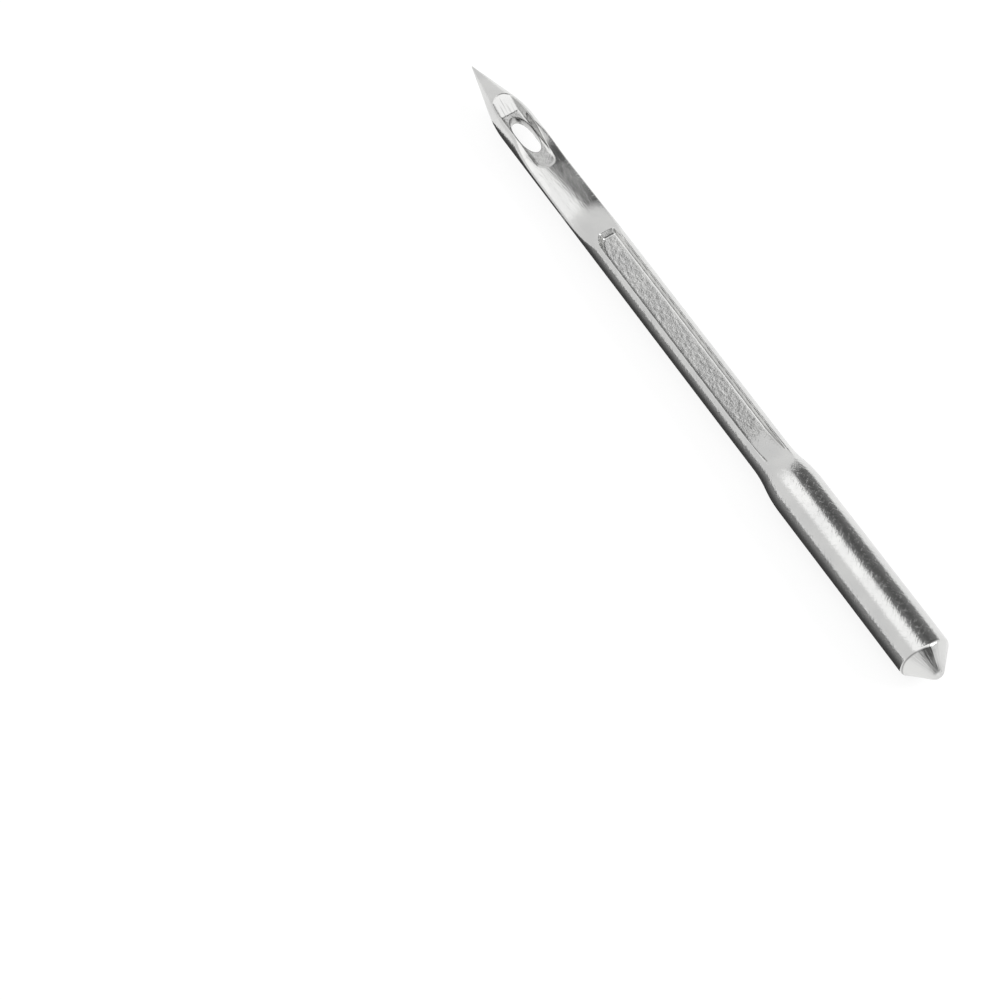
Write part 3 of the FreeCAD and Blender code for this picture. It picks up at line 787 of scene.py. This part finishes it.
def shade_card_material():
    """Painted shade: dark card, darker toward the needle."""
    material = bpy.data.materials.new("painted_shade_card")
    nodes = Nodes(material)
    place = nodes.add("ShaderNodeTexCoord").outputs["Object"]
    across = nodes.add("ShaderNodeSeparateXYZ", {"Vector": place}).outputs["X"]
    start, end = CARD_SHADE_FADE
    tone = nodes.spread(across, start * MM, end * MM, *CARD_SHADE_TONES)
    card = nodes.add("ShaderNodeBsdfDiffuse", {"Color": tone})
    nodes.add("ShaderNodeOutputMaterial", {"Surface": card.outputs["BSDF"]})
    return material


def make_shade_card():
    """Painted shade: dark card beside the needle, seen only in its reflections."""
    across = [place * MM for place in CARD_ACROSS]
    along = [place * MM for place in CARD_ALONG]
    height = (CARD_LIFT - SHANK_RADIUS) * MM
    shade_card = flat_sheet("shade_card", across, along, height, shade_card_material())
    shade_card.visible_camera = False
    shade_card.visible_shadow = False
    shade_card.visible_diffuse = False


def make_world():
    """White light tent with a soft box overhead and two dark panels, which the steel shows."""
    world = bpy.data.worlds.new("light_tent")
    bpy.context.scene.world = world
    nodes = Nodes(world)
    direction = nodes.add("ShaderNodeTexCoord").outputs["Generated"]
    place = nodes.add("ShaderNodeSeparateXYZ", {"Vector": direction}).outputs

    def within(limits, share=1.0):
        """Share that fades out at each of the limits."""
        for axis, outside, inside in limits:
            share = nodes.math("MULTIPLY", share, nodes.spread(place[axis], outside, inside))
        return share

    aside = nodes.math("ABSOLUTE", nodes.math("SUBTRACT", place["Y"], RIGHT_PANEL_MIDDLE))
    slant = nodes.math("ADD", place["X"], nodes.math("MULTIPLY", aside, RIGHT_PANEL_SLANT))
    slanted = nodes.math("MULTIPLY", nodes.spread(slant, *RIGHT_PANEL_EDGE),
                         nodes.spread(place["X"], *RIGHT_PANEL_FADE))
    dark = nodes.math("MAXIMUM", within(RIGHT_PANEL, slanted), within(NEAR_PANEL))
    tent = nodes.math("ADD", nodes.math("MULTIPLY", within(SOFT_BOX), BOX_GAIN), TENT_LEVEL)
    level = nodes.math("MULTIPLY", tent, nodes.spread(dark, 0.0, 1.0, 1.0, PANEL_LEVEL))
    path = nodes.add("ShaderNodeLightPath").outputs
    strength = nodes.add("ShaderNodeMix", {
        "Factor": path["Is Camera Ray"], "A": level, "B": 1.0}, data_type="FLOAT")
    background = nodes.add("ShaderNodeBackground", {
        "Color": grey(1), "Strength": strength.outputs["Result"]})
    nodes.add("ShaderNodeOutputWorld", {"Surface": background.outputs["Background"]})


def make_lamp():
    """Soft lamp from the right, which throws the needle's shadow to the left."""
    toward_lamp = Vector((0.7, -0.5, 0.6)).normalized()
    distance = 0.4
    data = bpy.data.lights.new("key_lamp", "AREA")
    data.shape = "DISK"
    data.size = 0.16
    data.energy = 0.7
    lamp = bpy.data.objects.new("key_lamp", data)
    bpy.context.scene.collection.objects.link(lamp)
    middle = Vector((0, LENGTH / 2, 0)) * MM
    lamp.location = middle + toward_lamp * distance
    lamp.rotation_euler = (middle - lamp.location).to_track_quat("-Z", "Y").to_euler()


def make_camera():
    """Camera that puts the needle's two ends on their pixels of the 1000 pixel photograph."""
    frame_pixels = 1000
    tip_pixel = Vector((471.9, 66.5))
    nose_pixel = Vector((940.0, 677.0))
    focal_pixels = 3000
    depth_ratio = 1.175
    roll = math.radians(15.9)
    centre = Vector((frame_pixels / 2, frame_pixels / 2))

    def ray(pixel):
        """Direction in the camera's own axes, one unit ahead of it."""
        offset = (pixel - centre) / focal_pixels
        return Vector((offset.x, -offset.y, -1.0))

    tip_ray = ray(tip_pixel) * depth_ratio
    nose_ray = ray(nose_pixel)
    nose_depth = LENGTH * MM / (tip_ray - nose_ray).length
    nose = nose_ray * nose_depth
    along = (tip_ray - nose_ray).normalized()
    middle = nose + along * (LENGTH * MM / 2)
    facing = -middle.normalized()
    facing = (facing - along * facing.dot(along)).normalized()
    up = facing * math.cos(roll) + facing.cross(along) * -math.sin(roll)
    across = along.cross(up)
    turn = Matrix((across, along, up))

    data = bpy.data.cameras.new("camera")
    data.sensor_width = 36
    data.lens = data.sensor_width * focal_pixels / frame_pixels
    data.clip_start = 0.001
    data.clip_end = 10
    camera = bpy.data.objects.new("camera", data)
    bpy.context.scene.collection.objects.link(camera)
    camera.matrix_world = Matrix.Translation(turn @ -nose) @ turn.to_4x4()
    bpy.context.scene.camera = camera


make_camera()
make_world()
make_lamp()
make_floor()
make_shade_card()
make_needle()
bpy.context.scene.view_settings.view_transform = "Standard"
